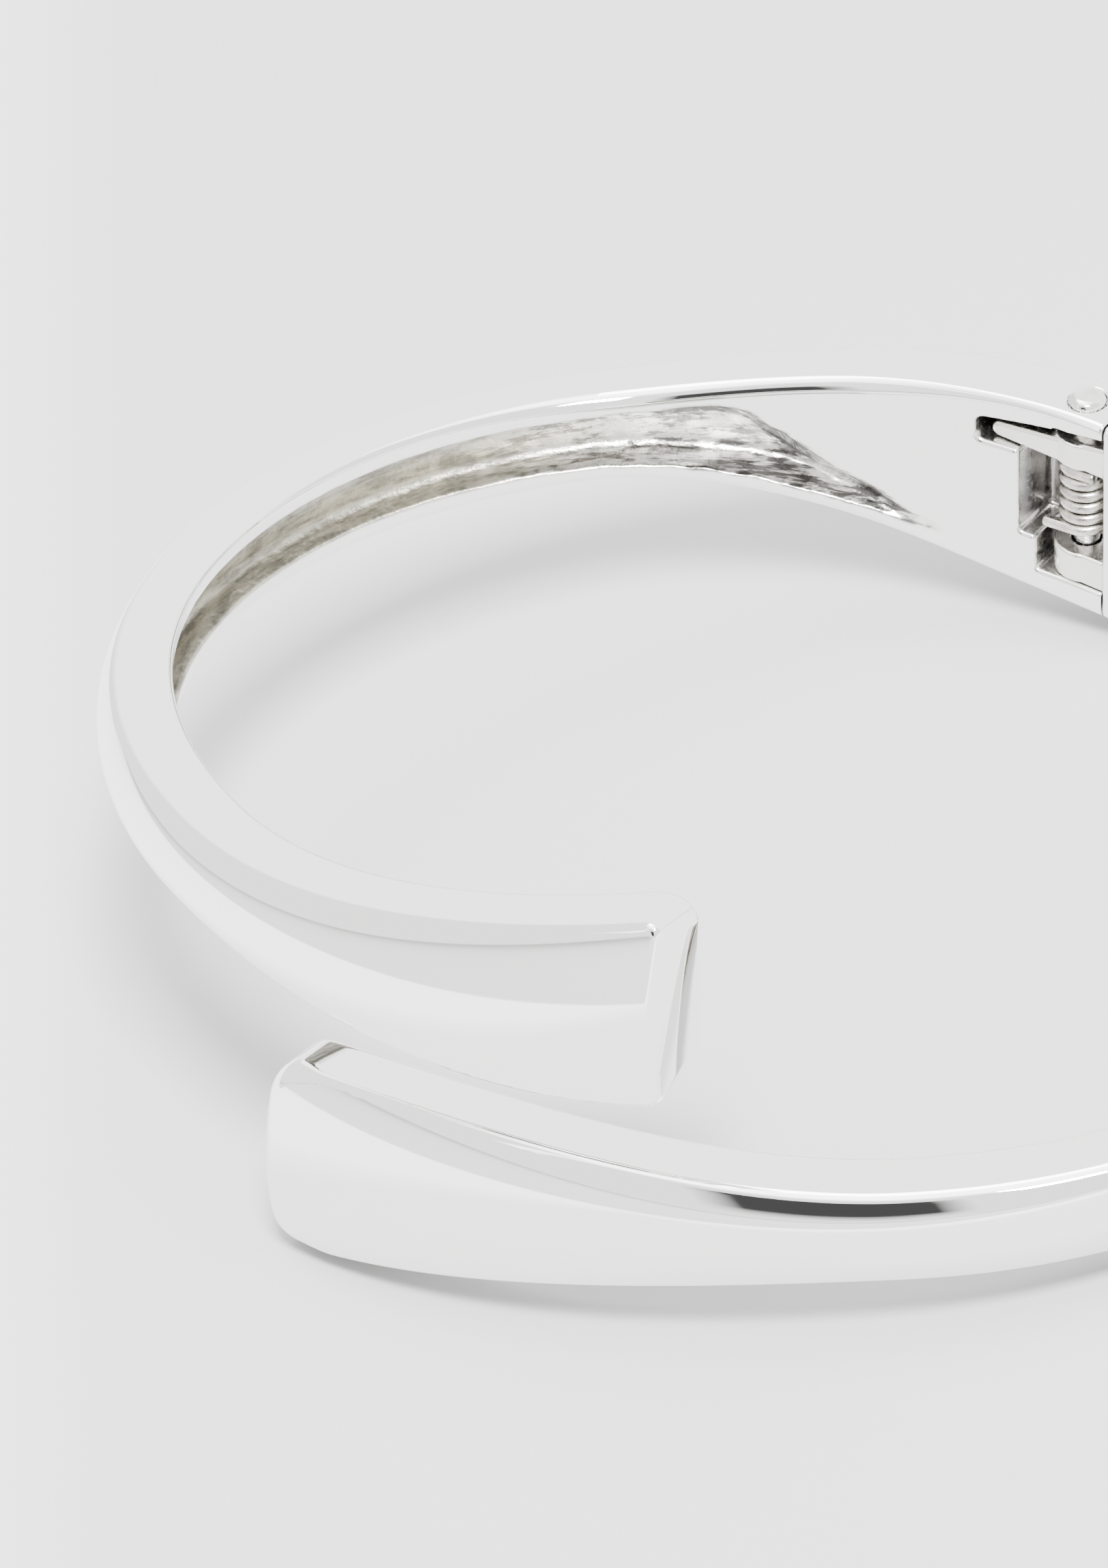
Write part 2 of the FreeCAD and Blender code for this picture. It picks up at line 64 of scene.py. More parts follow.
INNER_HALF_LENGTH = 29.7
INNER_HALF_WIDTH = 22.4
HINGE_HEIGHT, WAIST_HEIGHT, TIP_HEIGHT = 10.6, 4.7, 10.1
HINGE_FLARE_END = 48
TIP_FLARE_START, TIP_FLARE_END = 144, 200
BYPASS_RISE, BYPASS_START, BYPASS_POWER = 9.0, 76, 2.7
SWAY_DEPTH, SWAY_START, SWAY_END = 1.1, 17, 147
HINGE_THICKNESS, WAIST_THICKNESS, FRONT_THICKNESS = 3.0, 2.05, 2.8
HINGE_TAPER_END = 75
FRONT_TAPER_START, FRONT_TAPER_END = 80, 140
HINGE_CROWN, WAIST_CROWN, TIP_CROWN = 0.95, 0.74, 0.8
INNER_EDGE_RADIUS, OUTER_EDGE_RADIUS = 0.4, 0.28
INNER_EDGE_SOFTENING = 0.3  # more rounding by the slanted end of the hollow
LEFT_TIP_ANGLE, RIGHT_TIP_ANGLE = 198.2, 203.9
TIP_SLANT, TIP_PILLOW = 0.3, 0.12
TIP_POLISH_ACROSS, TIP_POLISH_UP = 0.3, 0.3  # how far polishing turns the end face's normals at its edges
HAIR = 0.006  # how far the crowned face keeps inside the CAD face
# For each tip: its corners' radius at the inner face and at the outer, and the rounding of its edges
LEFT_TIP, RIGHT_TIP = (2.1, 0.67, 0.3), (1.8, 1.8, 0.9)

LIP_HEIGHT = 1.0
LIP_ROUNDING = 0.16
HOLLOW_WALL = 0.75
HOLLOW_FILLET = 0.45
HOLLOW_BEFORE_TIP = 16
HOLLOW_END_RADIUS, RAMP_EDGE_RADIUS = 0.8, 0.6
RAMP_HIGH_ANGLE, RAMP_HIGH_LEVEL = 33.5, 1.5
RAMP_LOW_ANGLE, RAMP_LOW_LEVEL = 14.8, -3.4
RAMP_DRAFT = 42

PIN_X, PIN_Y = -1.7, 23.8
PIN_RADIUS, PIN_CLEARANCE = 0.6, 0.05
PIN_TOP, PIN_BOTTOM = 5.15, -5.1
HEAD_RADIUS, HEAD_TOP, DOME_RADIUS = 0.83, 5.57, 0.4
FLARE_RADIUS, FLARE_TOP = 0.78, -4.88
KNUCKLE_RADIUS, CAVITY_RADIUS, CHEEK_RADIUS = 1.45, 1.65, 1.55
CAVITY_TOP = 4.22
SEAM_GAP = 0.1
OPENING_ANGLE = 60
NOTCH_LEFT, NOTCH_LEFT_TOP, NOTCH_SEAM_TOP, NOTCH_BOTTOM = 6.4, 3.5, 4.5, 2.3
WINDOW_LEFT, WINDOW_BOTTOM = 4.3, -2.15
LUG_NOTCH_LEFT, LUG_NOTCH_BOTTOM = 3.45, -3.95
WINDOW_BACK = INNER_HALF_WIDTH + 2.4
FINGER_LEFT, FINGER_NOSE_TOP, FINGER_SEAM_TOP, FINGER_BOTTOM = 5.9, 3.1, 4.0, 2.38
FINGER_FRONT, FINGER_BACK = INNER_HALF_WIDTH + 0.08, WINDOW_BACK - 0.08
KNUCKLE_TOP = 3.75
LUG_TOP, LUG_BOTTOM = -2.3, -3.85
NECK_RIGHT = 0.7
NOTCH_ROUNDING, FINGER_ROUNDING, NOSE_ROUNDING, SEAM_ROUNDING = 0.22, 0.2, 0.38, 0.08
WINDOW_EDGE, NOTCH_END_EDGE, LUG_NOTCH_EDGE = 0.3, 0.45, 0.25
KNUCKLE_EDGE, LUG_KNUCKLE_EDGE = 0.1, 0.15
FINGER_ROOT_FILLET, PIN_HOLE_EDGE = 0.12, 0.04
HEAD_SEAT_RADIUS, HEAD_SEAT_LEVEL = HEAD_RADIUS + 0.06, PIN_TOP - 0.05
FLARE_SEAT_RADIUS, FLARE_SEAT_LEVEL = FLARE_RADIUS + 0.03, PIN_BOTTOM + 0.1

WIRE_RADIUS, COIL_RADIUS, COIL_PITCH, COIL_TURNS = 0.27, 1.0, 0.63, 5
COIL_BOTTOM = -1.27
UPPER_LEG, LOWER_LEG = 1.1, 1.55

REST_LEAN, REST_ROLL = -6.27, 13.27
REST_SHIFT = Vector((-0.007, 0.126, 9.0631))


# ---------------------------------------------------------------- resting pose and mesh helpers


def lay_down(points):
    """Design frame in millimetres to the frame's resting pose in metres."""
    roll = Matrix.Rotation(math.radians(REST_ROLL), 3, "Y")
    lean = Matrix.Rotation(math.radians(REST_LEAN), 3, "X")
    return (points @ np.array(roll @ lean).T + np.array(REST_SHIFT)) * MM


def turn_down(directions):
    """The same turn for directions."""
    return lay_down(directions) / MM - np.array(REST_SHIFT)


def piece_from(name, points, faces):
    """A smooth piece from points in the design frame."""
    mesh = bpy.data.meshes.new(name)
    mesh.from_pydata(lay_down(points).tolist(), [], faces)
    mesh.shade_smooth()
    piece = bpy.data.objects.new(name, mesh)
    bpy.context.scene.collection.objects.link(piece)
    return piece


def paint(piece, name, values):
    """Stores a number on each vertex, for the piece's material to read."""
    layer = piece.data.attributes.new(name, "FLOAT", "POINT")
    layer.data.foreach_set("value", values.astype(np.float32))


# ---------------------------------------------------------------- joining distances with rounded edges


def both(a, b, radius):
    """What is inside a and b: the edge where they meet is rounded."""
    corner = np.hypot(np.maximum(a + radius, 0), np.maximum(b + radius, 0))
    return np.minimum(np.maximum(a, b), -radius) + corner


def either(a, b, radius):
    """What is inside a or b: the corner where they meet is filleted."""
    return -both(-a, -b, radius)


def without(a, b, radius):
    """a with b cut away: the edge of the cut is rounded."""
    return both(a, -b, radius)


def slab(value, low, high):
    return np.abs(value - (low + high) / 2) - (high - low) / 2


def ease(value, start, end):
    """0 up to start, rising smoothly to 1 at end."""
    share = np.clip((value - start) / (end - start), 0, 1)
    return share * share * (3 - 2 * share)


def fade(value, start, end):
    """1 up to start, falling smoothly to 0 at end."""
    return 1 - ease(value, start, end)


# ---------------------------------------------------------------- the band


def along_arm(angle, hinge_value, waist_value, tip_value):
    hinge_share = 1 - ease(angle, 0, HINGE_FLARE_END)
    tip_share = ease(angle, TIP_FLARE_START, TIP_FLARE_END)
    return waist_value + (hinge_value - waist_value) * hinge_share + (tip_value - waist_value) * tip_share


def half_height(angle):
    return along_arm(angle, HINGE_HEIGHT, WAIST_HEIGHT, TIP_HEIGHT) / 2


def thickness(angle):
    hinge_share = 1 - ease(angle, 0, HINGE_TAPER_END)
    front_share = ease(angle, FRONT_TAPER_START, FRONT_TAPER_END)
    hinge_extra = (HINGE_THICKNESS - WAIST_THICKNESS) * hinge_share
    front_extra = (FRONT_THICKNESS - WAIST_THICKNESS) * front_share
    return WAIST_THICKNESS + (hinge_extra + front_extra)


def middle(angle):
    climb = np.maximum((angle - BYPASS_START) / (TIP_FLARE_END - BYPASS_START), 0)
    sway = np.clip((angle - SWAY_START) / (SWAY_END - SWAY_START), 0, 1)
    return BYPASS_RISE * climb**BYPASS_POWER - SWAY_DEPTH * np.sin(np.pi * sway) ** 2


def outward_from(angle):
    """The direction out of the inner ellipse in plan, and the ellipse's millimetres to a radian of angle."""
    a = np.radians(angle)
    speed = np.hypot(INNER_HALF_LENGTH * np.cos(a), INNER_HALF_WIDTH * np.sin(a))
    return -INNER_HALF_WIDTH * np.sin(a) / speed, INNER_HALF_LENGTH * np.cos(a) / speed, speed


def spot(angle, depth, level):
    """x, y, z of a point by its angle round the ellipse, depth behind the inner face and level."""
    a = np.radians(angle)
    out_x, out_y, _ = outward_from(angle)
    x = -INNER_HALF_LENGTH * np.sin(a) + out_x * depth
    y = INNER_HALF_WIDTH * np.cos(a) + out_y * depth
    return x, y, middle(angle) + level


def stretch(angle, depth):
    """Millimetres to a degree of angle, at that depth."""
    _, _, speed = outward_from(angle)
    return np.radians(speed + INNER_HALF_LENGTH * INNER_HALF_WIDTH / speed**2 * depth)


def band(angle, depth, level, tip_angle, tip):
    """The solid band: flat inside, crowned outside, with a slanted, slightly pillowed tip."""
    inner_radius, outer_radius, edge_rounding = tip
    half = half_height(angle)
    crown = along_arm(angle, HINGE_CROWN, WAIST_CROWN, TIP_CROWN)
    crown_radius = (half**2 + crown**2) / (2 * crown)
    outer = np.hypot(depth - thickness(angle) - crown + crown_radius, level) - crown_radius + HAIR
    pillow = TIP_PILLOW * (level / half) ** 2
    beyond = (angle - tip_angle) * stretch(angle, depth) + TIP_SLANT * depth + pillow
    corner_radius = np.maximum(inner_radius + (outer_radius - inner_radius) * depth / FRONT_THICKNESS, 0.1)
    outline = both(np.abs(level) - half, beyond, corner_radius)
    edge_radius = OUTER_EDGE_RADIUS + (edge_rounding - OUTER_EDGE_RADIUS) * ease(beyond, -4, -1)
    soft_edge = INNER_EDGE_RADIUS + INNER_EDGE_SOFTENING * ease(angle, 8, 24) * fade(angle, 44, 66)
    return both(both(outline, outer, edge_radius), -depth, soft_edge)


# ---------------------------------------------------------------- the cast hollow


def inner_spot(angle, level):
    x, y, _ = spot(np.float64(angle), 0.0, 0.0)
    return Vector((x, y, level))


def ramp_plane():
    """A point on the slanted end of the hollow, and its normal, which points to the hinge."""
    high = inner_spot(RAMP_HIGH_ANGLE, RAMP_HIGH_LEVEL)
    low = inner_spot(RAMP_LOW_ANGLE, RAMP_LOW_LEVEL)
    along = (low - high).normalized()
    outward = (inner_spot(RAMP_HIGH_ANGLE, 0).xy / INNER_HALF_LENGTH**2).to_3d()
    outward.y *= (INNER_HALF_LENGTH / INNER_HALF_WIDTH) ** 2
    outward.normalize()
    towards_tip = outward.cross(along).normalized()
    slope = math.radians(RAMP_DRAFT)
    into = outward * math.cos(slope) + towards_tip * math.sin(slope)
    normal = along.cross(into).normalized()
    if normal.dot(inner_spot(0, 0) - high) < 0:
        normal.negate()
    return high, normal


RAMP_POINT, RAMP_NORMAL = ramp_plane()


def lumps(x, y, z, size, seed):
    """Smooth random lumps of about that size, from -1 to 1."""
    table = np.random.default_rng(seed).uniform(-1, 1, (16, 16, 16))
    places = [np.asarray(v / size) for v in (x, y, z)]
    cells = [np.floor(v).astype(int) for v in places]
    shares = [ease(v - c, 0, 1) for v, c in zip(places, cells)]
    total = 0
    for corner in range(8):
        steps = [corner >> axis & 1 for axis in range(3)]
        weight = 1
        for step, share in zip(steps, shares):
            weight = weight * (share if step else 1 - share)
        i, j, k = [(c + step) % 16 for c, step in zip(cells, steps)]
        total = total + weight * table[i, j, k]
    return total


def hollow(angle, depth, level, tip_angle):
    x, y, z = spot(angle, depth, level)
    walls = np.abs(level) - half_height(angle) + LIP_HEIGHT
    back = depth - thickness(angle) + HOLLOW_WALL
    end = (angle - tip_angle + HOLLOW_BEFORE_TIP) * stretch(angle, depth)
    ramp = sum((value - RAMP_POINT[axis]) * RAMP_NORMAL[axis] for axis, value in enumerate((x, y, z)))
    pocket = both(both(walls, end, HOLLOW_END_RADIUS), ramp, RAMP_EDGE_RADIUS)
    return both(pocket, back, HOLLOW_FILLET)


# ---------------------------------------------------------------- hinge, in the design frame


def pin_distance(x, y):
    return np.hypot(x - PIN_X, y - PIN_Y)


def behind_pin(x, y, first, last):
    """The sector behind the pin between two directions, counted from +X."""
    dx, dy = x - PIN_X, y - PIN_Y
    first, last = math.radians(first), math.radians(last)
    after_first = dx * math.sin(first) - dy * math.cos(first)
    before_last = dy * math.cos(last) - dx * math.sin(last)
    return np.maximum(after_first, before_last)


def bar(x, y, z, xs, ys, zs, radius):
    """A block between those pairs of x, y and z, with rounded edges."""
    return both(both(slab(x, *xs), slab(z, *zs), radius), slab(y, *ys), radius)


def sloped_bar(x, y, z, xs, ys, bottom, tops, radius, left_radius):
    """A bar with a sloping top: tops are its heights at the two ends of xs."""
    slope = (tops[1] - tops[0]) / (xs[1] - xs[0])
    top = (z - tops[0] - slope * (x - xs[0])) / math.hypot(1, slope)
    profile = both(both(both(top, bottom - z, radius), x - xs[1], radius), xs[0] - x, left_radius)
    return both(profile, slab(y, *ys), radius)


def knuckle(x, y, z, radius, bottom, top, rounding):
    return both(pin_distance(x, y) - radius, slab(z, bottom, top), rounding)


FAR = 8.0  # further than the hinge reaches
HINGE_SIDE = INNER_HALF_WIDTH - FAR  # what is cut for the hinge lies behind this plane


def left_cuts(x, y, z):
    """All that is cut from the left arm for the hinge."""
    seam = np.maximum(-SEAM_GAP / 2 - x, slab(y, HINGE_SIDE, PIN_Y))
    behind = np.maximum(behind_pin(x, y, 0, 90 + OPENING_ANGLE / 2), CHEEK_RADIUS - pin_distance(x, y))
    slope = (NOTCH_SEAM_TOP - NOTCH_LEFT_TOP) / NOTCH_LEFT
    tops = (NOTCH_LEFT_TOP, NOTCH_SEAM_TOP + FAR * slope)
    ys = (HINGE_SIDE, WINDOW_BACK)
    window_zs = (WINDOW_BOTTOM, NOTCH_BOTTOM + 1)
    lug_zs = (LUG_NOTCH_BOTTOM, WINDOW_BOTTOM + 1)
    notch = sloped_bar(x, y, z, (-NOTCH_LEFT, FAR), ys, NOTCH_BOTTOM, tops, WINDOW_EDGE, NOTCH_END_EDGE)
    window = bar(x, y, z, (-WINDOW_LEFT, FAR), ys, window_zs, WINDOW_EDGE)
    lug_notch = bar(x, y, z, (-LUG_NOTCH_LEFT, FAR), ys, lug_zs, LUG_NOTCH_EDGE)
    openings = either(either(notch, window, NOTCH_ROUNDING), lug_notch, NOTCH_ROUNDING)
    cavity = knuckle(x, y, z, CAVITY_RADIUS, LUG_NOTCH_BOTTOM, CAVITY_TOP, KNUCKLE_EDGE)
    head_seat = np.maximum(pin_distance(x, y) - HEAD_SEAT_RADIUS, HEAD_SEAT_LEVEL - z)
    flare_seat = np.maximum(pin_distance(x, y) - FLARE_SEAT_RADIUS, z - FLARE_SEAT_LEVEL)
    hole = pin_distance(x, y) - PIN_RADIUS
    seats = np.minimum(np.minimum(head_seat, flare_seat), hole)
    return np.minimum(np.minimum(seam, behind), seats), np.minimum(openings, cavity)


def right_cuts(x, y):
    """All that is cut from the right arm for the hinge."""
    seam = np.maximum(x - SEAM_GAP / 2, slab(y, HINGE_SIDE, PIN_Y))
    left_half = np.maximum(x, HINGE_SIDE - y)
    behind = behind_pin(x, y, 90 - OPENING_ANGLE / 2, 180)
    cavity = pin_distance(x, y) - CAVITY_RADIUS
    return np.minimum(np.minimum(seam, behind), np.minimum(cavity, left_half))


def right_knuckles(x, y, z):
    """The finger and the lug that reach into the left arm."""
    ys = (FINGER_FRONT, FINGER_BACK)
    slope = (FINGER_SEAM_TOP - FINGER_NOSE_TOP) / FINGER_LEFT
    tops = (FINGER_NOSE_TOP, FINGER_SEAM_TOP + NECK_RIGHT * slope)
    xs = (-FINGER_LEFT, NECK_RIGHT)
    finger = sloped_bar(x, y, z, xs, ys, FINGER_BOTTOM, tops, FINGER_ROUNDING, NOSE_ROUNDING)
    finger_knuckle = knuckle(x, y, z, KNUCKLE_RADIUS, FINGER_BOTTOM, KNUCKLE_TOP, KNUCKLE_EDGE)
    lug = bar(x, y, z, (PIN_X, NECK_RIGHT), ys, (LUG_BOTTOM, LUG_TOP), KNUCKLE_EDGE)
    lug_knuckle = knuckle(x, y, z, KNUCKLE_RADIUS, LUG_BOTTOM, LUG_TOP, LUG_KNUCKLE_EDGE)
    upper = np.minimum(finger, finger_knuckle)
    return np.minimum(upper, np.minimum(lug, lug_knuckle))


# ---------------------------------------------------------------- one arm as a distance, negative inside


def left_arm(angle, depth, level):
    """Distances to the left arm, to its hollow and to its hinge cuts."""
    x, y, z = spot(angle, depth, level)
    pocket = hollow(angle, depth, level, LEFT_TIP_ANGLE) + rough_casting(angle, x, y, z)
    solid = without(band(angle, depth, level, LEFT_TIP_ANGLE, LEFT_TIP), pocket, LIP_ROUNDING)
    plain, windows = left_cuts(x, y, z)
    solid = without(solid, windows, NOTCH_ROUNDING)
    return without(solid, plain, SEAM_ROUNDING), pocket, windows


def right_arm(angle, depth, level):
    """The same for the right arm, before its half turn about Y."""
    x, y, z = spot(angle, depth, level)
    pocket = hollow(angle, depth, level, RIGHT_TIP_ANGLE) + rough_casting(angle, x, y, z + FAR)
    solid = without(band(angle, depth, level, RIGHT_TIP_ANGLE, RIGHT_TIP), pocket, LIP_ROUNDING)
    x, z = -x, -z
    cuts = right_cuts(x, y)
    solid = either(without(solid, cuts, SEAM_ROUNDING), right_knuckles(x, y, z), FINGER_ROOT_FILLET)
    hole = pin_distance(x, y) - PIN_RADIUS - PIN_CLEARANCE
    return without(solid, hole, PIN_HOLE_EDGE), pocket, cuts


def near_ramp(angle):
    """1 by the hollow's slanted end, where the plate has run in, to 0 in the bare middle of the arm."""
    return fade(angle, 34, 66)


COARSE_SIZE, FINE_SIZE = 1.0, 0.36  # size of the lumps in the cast skin
BARE_LUMPS, PLATE_LUMPS, FINE_LUMPS = 0.02, 0.07, 0.018  # how far they stand in or out


def rough_casting(angle, x, y, z):
    """How far the hollow's cast skin stands in or out."""
    coarse = lumps(x, y, z, COARSE_SIZE, seed=3)
    fine = lumps(x, y, z, FINE_SIZE, seed=5)
    return (BARE_LUMPS + PLATE_LUMPS * near_ramp(angle)) * coarse + FINE_LUMPS * fine


# ---------------------------------------------------------------- meshing a distance


def surface_net(field):
    """Vertices, in grid steps, and quads of the surface where a grid of distances changes sign."""
    cells = np.array(field.shape) - 1
    strides = np.array([cells[1] * cells[2], cells[2], 1])
    keys, places, quads = [], [], []
    for axis in range(3):
        near = np.moveaxis(field, axis, 0)[:-1]
        far = np.moveaxis(field, axis, 0)[1:]
        start = np.argwhere((near < 0) != (far < 0))
        a = near[tuple(start.T)]
        b = far[tuple(start.T)]
        order = [1, 2]
        order.insert(axis, 0)
        edge = start[:, order]
        point = edge.astype(float)
        point[:, axis] += a / (a - b)
        u, v = (axis + 1) % 3, (axis + 2) % 3
        ring = []
        for back_u, back_v in ((1, 1), (0, 1), (0, 0), (1, 0)):
            cell = edge.copy()
            cell[:, u] -= back_u
            cell[:, v] -= back_v
            ring.append(cell @ strides)
            keys.append(ring[-1])
            places.append(point)
        ring = np.stack(ring, 1)
        quads.append(np.where((a < 0)[:, None], ring[:, ::-1], ring))
    keys = np.concatenate(keys)
    places = np.concatenate(places)
    used, index = np.unique(keys, return_inverse=True)
    count = np.bincount(index)
    points = np.stack([np.bincount(index, places[:, axis]) / count for axis in range(3)], 1)
    return points, np.searchsorted(used, np.concatenate(quads))


def slopes(distance, angle, depth, level):
    """The distance and its gradient along the arm, outwards and upwards."""
    step = 0.01
    value = distance(angle, depth, level)[0]
    turn = step / stretch(angle, depth)
    along = distance(angle + turn, depth, level)[0] - distance(angle - turn, depth, level)[0]
    outward = distance(angle, depth + step, level)[0] - distance(angle, depth - step, level)[0]
    upward = distance(angle, depth, level + step)[0] - distance(angle, depth, level - step)[0]
    climb = (middle(angle + turn) - middle(angle - turn)) / (2 * step)
    along = along - climb * upward
    return value, along / (2 * step), outward / (2 * step), upward / (2 * step), climb


COARSER = 1
CELL = 0.125 * COARSER
PLANE_DEPTHS, PLANE_LEVELS = (-2.5 * CELL, 4.4), (-5.7, 5.75)
NEWTON_STEPS, LONGEST_PUSH = 4, 0.1

# Where the material changes, in millimetres: at the edges of the hollow and of the cuts; with the depth, for
# painted shade in the cuts;
# at the band's middle as a share of its half height, for a painted reflection; and in the painted shade
# under the hollow's upper lip
CAST_EDGE, CUT_EDGE = (0.03, 0.16), (0.02, 0.12)
DEEP, HIGH = (0.1, 1.6), (-0.3, 0.3)
EAVE_LEVELS, EAVE_DEPTHS = (-0.75, -0.15), (1.1, 1.9)


def stations(first, tip_angle):
    """Angles of the grid's stations: close together at the hinge, along the ramp and at the tip."""
    spans = [
        (first, 16, 0.18),
        (16, 36, 0.3),
        (36, tip_angle - 20, 0.7),
        (tip_angle - 20, tip_angle - 6, 0.36),
        (tip_angle - 6, tip_angle + 1, 0.2),
    ]
    return np.concatenate([np.arange(start, end, step * COARSER) for start, end, step in spans])


def polish_tip(angle, depth, level, tip_angle, along, outward, upward):
    """Turns the end face's normals a little outwards, up and down, as a hand-polished face reflects."""
    on_tip = ease(along, 0.75, 0.95) * ease(angle, tip_angle - 3, tip_angle - 2)
    outward = outward + TIP_POLISH_ACROSS * (2 * depth / FRONT_THICKNESS - 0.5) * on_tip
    upward = upward + TIP_POLISH_UP * level / half_height(angle) * on_tip
    return outward, upward


def make_arm(name, distance, first, tip_angle, turned):
    """Meshes an arm from angle first to its tip, and stores what its material needs on its vertices."""
    angles = stations(first, tip_angle)
    depths = np.arange(*PLANE_DEPTHS, CELL)
    levels = np.arange(*PLANE_LEVELS, CELL)
    grid = np.meshgrid(angles, depths, levels, indexing="ij")
    points, quads = surface_net(distance(*grid)[0])
    angle = np.interp(points[:, 0], np.arange(len(angles)), angles)
    depth = depths[0] + points[:, 1] * CELL
    level = levels[0] + points[:, 2] * CELL
    for _ in range(NEWTON_STEPS):
        value, along, outward, upward, climb = slopes(distance, angle, depth, level)
        steepness = np.maximum(along**2 + outward**2 + upward**2, 0.25)
        push = -np.clip(value, -LONGEST_PUSH, LONGEST_PUSH) / steepness
        angle = angle + push * along / stretch(angle, depth)
        depth = depth + push * outward
        level = level + push * (upward - climb * along)
    value, along, outward, upward, climb = slopes(distance, angle, depth, level)
    outward, upward = polish_tip(angle, depth, level, tip_angle, along, outward, upward)
    x, y, z = spot(angle, depth, level)
    out_x, out_y, _ = outward_from(angle)
    normal = np.stack([outward * out_x - along * out_y, outward * out_y + along * out_x, upward], 1)
    normal /= np.linalg.norm(normal, axis=1)[:, None]
    place = np.stack([x, y, z], 1)
    if turned:
        place, normal = place * (-1, 1, -1), normal * (-1, 1, -1)
    piece = piece_from(name, place, quads.tolist())
    piece.data.validate()
    piece.data.normals_split_custom_set_from_vertices(turn_down(normal).tolist())
    _, pocket, cuts = distance(angle, depth, level)
    paint(piece, "cast", fade(pocket, *CAST_EDGE))
    paint(piece, "cut", fade(cuts, *CUT_EDGE))
    # deep: how far behind the inner face; it sets painted shade on the cut faces and shifts the cast skin's
    # streaks
    paint(piece, "deep", ease(depth, *DEEP))
    paint(piece, "plated", near_ramp(angle))
    height = -level if turned else level
    # high: the band's upper half, where the cast skin gets a painted reflection
    paint(piece, "high", ease(height / half_height(angle), *HIGH))
    # eave: painted shade under the hollow's upper lip, fading with depth
    under_lip = ease(height - half_height(angle) + LIP_HEIGHT, *EAVE_LEVELS)
    paint(piece, "eave", under_lip * fade(depth, *EAVE_DEPTHS))
    paint(piece, "along", angle * INNER_HALF_WIDTH * math.pi / 180)
    paint(piece, "up", height)
    return piece


LEFT_START, RIGHT_START = -1.5, -13.5  # angles past the seam, the right one past its finger
left = make_arm("left_arm_cast", left_arm, LEFT_START, LEFT_TIP_ANGLE, turned=False)
right = make_arm("right_arm_cast", right_arm, RIGHT_START, RIGHT_TIP_ANGLE, turned=True)


# ---------------------------------------------------------------- turned and drawn pieces


def skin_rings(name, rings, first_end, last_end, turned):
    """A closed tube through rings of points with a point at each end; turned reverses its faces."""
    sides = len(rings[0])
    faces = []
    for row in range(len(rings) - 1):
        for i in range(sides):
            j = (i + 1) % sides
            faces.append([row * sides + i, row * sides + j, (row + 1) * sides + j, (row + 1) * sides + i])
    low = len(rings) * sides
    last = low - sides
    faces += [[low, (i + 1) % sides, i] for i in range(sides)]
    faces += [[low + 1, last + i, last + (i + 1) % sides] for i in range(sides)]
    if turned:
        faces = [face[:1] + face[:0:-1] for face in faces]
    return piece_from(name, np.concatenate([*rings, [first_end], [last_end]]), faces)


# ---------------------------------------------------------------- hinge pin


PIN_SIDES, DOME_STEPS, PIN_SHARP_ANGLE = 72, 12, 35
PIN_BEVEL, PIN_LIP = 0.1, 0.06
HEAD_BEVEL, HEAD_LIP = 0.05, 0.03


def make_pin():
    """A turned pin: a domed head, a shaft and a riveted lower end."""
    profile = [(FLARE_RADIUS - PIN_BEVEL, PIN_BOTTOM), (FLARE_RADIUS, PIN_BOTTOM + PIN_LIP)]
    profile += [(PIN_RADIUS, FLARE_TOP), (PIN_RADIUS, PIN_TOP)]
    profile += [(HEAD_RADIUS - HEAD_BEVEL, PIN_TOP), (HEAD_RADIUS, PIN_TOP + HEAD_LIP)]
    for step in range(DOME_STEPS + 1):
        turn = math.radians(90 * step / DOME_STEPS)
        radius = HEAD_RADIUS - DOME_RADIUS * (1 - math.cos(turn))
        profile.append((radius, HEAD_TOP - DOME_RADIUS * (1 - math.sin(turn))))
    flat = HEAD_RADIUS - DOME_RADIUS
    profile += [(flat * share, HEAD_TOP) for share in (0.75, 0.5, 0.25)]
    around = np.radians(np.arange(PIN_SIDES) * 360 / PIN_SIDES)
    rings = []
    for radius, height in profile:
        x, y = PIN_X + radius * np.cos(around), PIN_Y + radius * np.sin(around)
        rings.append(np.stack([x, y, np.full(PIN_SIDES, height)], 1))
    ends = (PIN_X, PIN_Y, PIN_BOTTOM), (PIN_X, PIN_Y, HEAD_TOP)
    piece = skin_rings("hinge_pin_turned", rings, *ends, turned=False)
    piece.data.set_sharp_from_angle(angle=math.radians(PIN_SHARP_ANGLE))
    return piece


pin = make_pin()


# ---------------------------------------------------------------- torsion spring


STEPS_PER_TURN, WIRE_SIDES = 64, 24
WIRE_END_BEVEL, WIRE_END_SHARE = 0.05, 0.8


def spring_line():
    """Points along the wire: lower leg, coil, upper leg."""
    slope = COIL_PITCH / (2 * math.pi * COIL_RADIUS)
    tangent = np.array([1, 0, slope]) / math.hypot(1, slope)
    low_end = np.array([PIN_X, PIN_Y - COIL_RADIUS, COIL_BOTTOM])
    high_end = low_end + (0, 0, COIL_PITCH * COIL_TURNS)
    lower = [low_end - tangent * LOWER_LEG * (1 - share) for share in np.linspace(0, 1, 12)[:-1]]
    upper = [high_end + tangent * UPPER_LEG * share for share in np.linspace(0, 1, 8)[1:]]
    turn = np.linspace(0, 2 * np.pi * COIL_TURNS, COIL_TURNS * STEPS_PER_TURN + 1)
    coil = np.stack(
        [
            PIN_X + COIL_RADIUS * np.sin(turn),
            PIN_Y - COIL_RADIUS * np.cos(turn),
            COIL_BOTTOM + COIL_PITCH * turn / (2 * np.pi),
        ],
        1,
    )
    return np.concatenate([lower, coil, upper])


